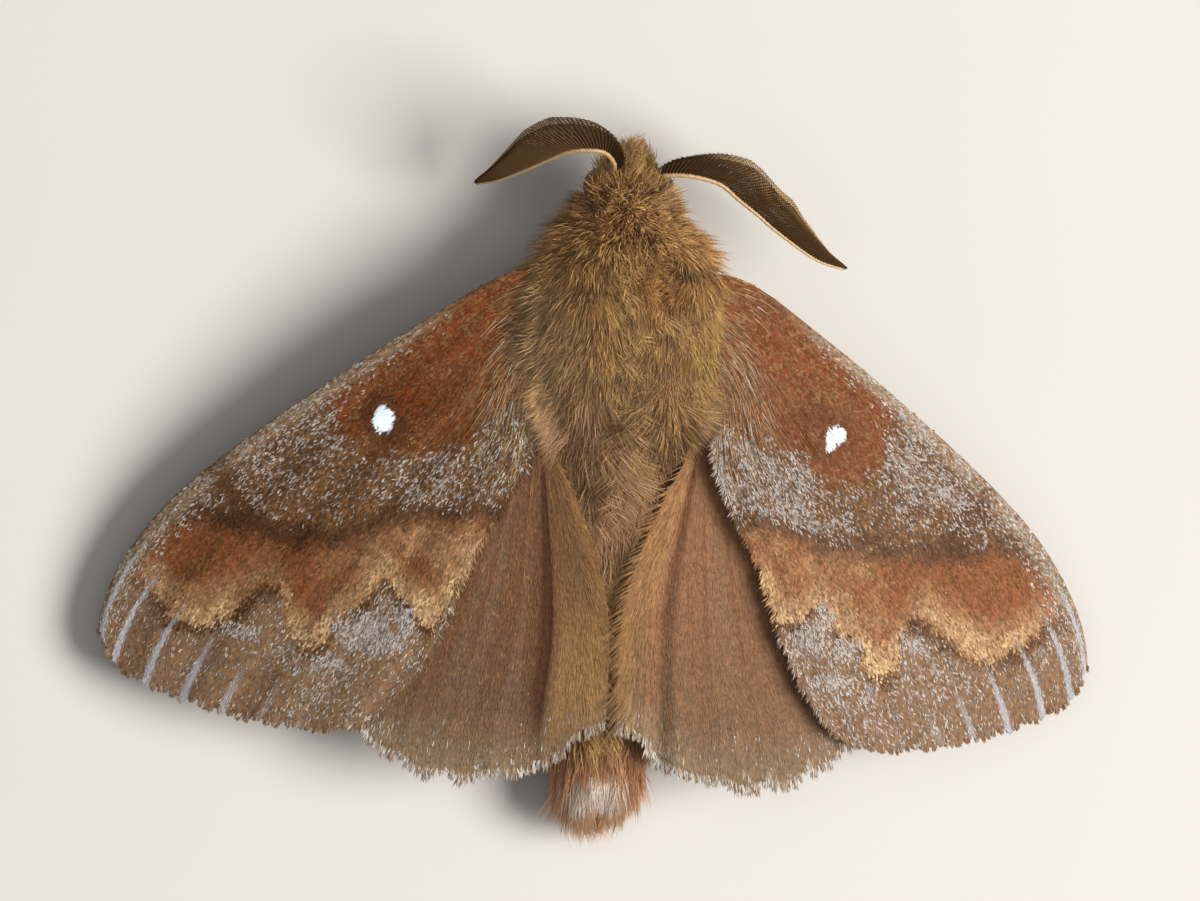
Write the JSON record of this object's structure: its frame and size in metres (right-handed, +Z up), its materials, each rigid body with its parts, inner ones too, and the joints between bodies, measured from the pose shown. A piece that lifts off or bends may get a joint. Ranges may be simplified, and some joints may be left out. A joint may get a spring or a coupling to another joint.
{
  "type": "pine-tree lappet moth",
  "caption": "Life-size still model of a resting male lappet moth with half-open scalloped wings, combed feelers and a furry body, standing on its feet.",
  "frame": {"origin": "on the floor plane, under the middle of the moth's bounding box", "axes": "+Y towards the head, +Z up from the floor to the back, -X towards the moth's own left wing"},
  "size_m": [0.0507, 0.0365, 0.0101],
  "materials": {
    "coat": "dense soft brown fur",
    "forewing": "matt red-brown scales with grey and ochre bands",
    "hindwing": "matt warm brown scales",
    "antenna": "dull olive brown",
    "eye": "polished black",
    "leg": "furry brown"
  },
  "bodies": {
    "root": {"head": "coat", "thorax": "coat", "abdomen": "coat", "palp_left": "coat", "palp_right": "coat", "eye_left": "eye", "eye_right": "eye", "antenna_left": "antenna", "antenna_right": "antenna", "forewing_left": "forewing", "forewing_right": "forewing", "hindwing_left": "hindwing", "hindwing_right": "hindwing", "leg_front_left": "leg", "leg_front_right": "leg", "leg_mid_left": "leg", "leg_mid_right": "leg", "leg_hind_left": "leg", "leg_hind_right": "leg"}
  },
  "joints": []
}
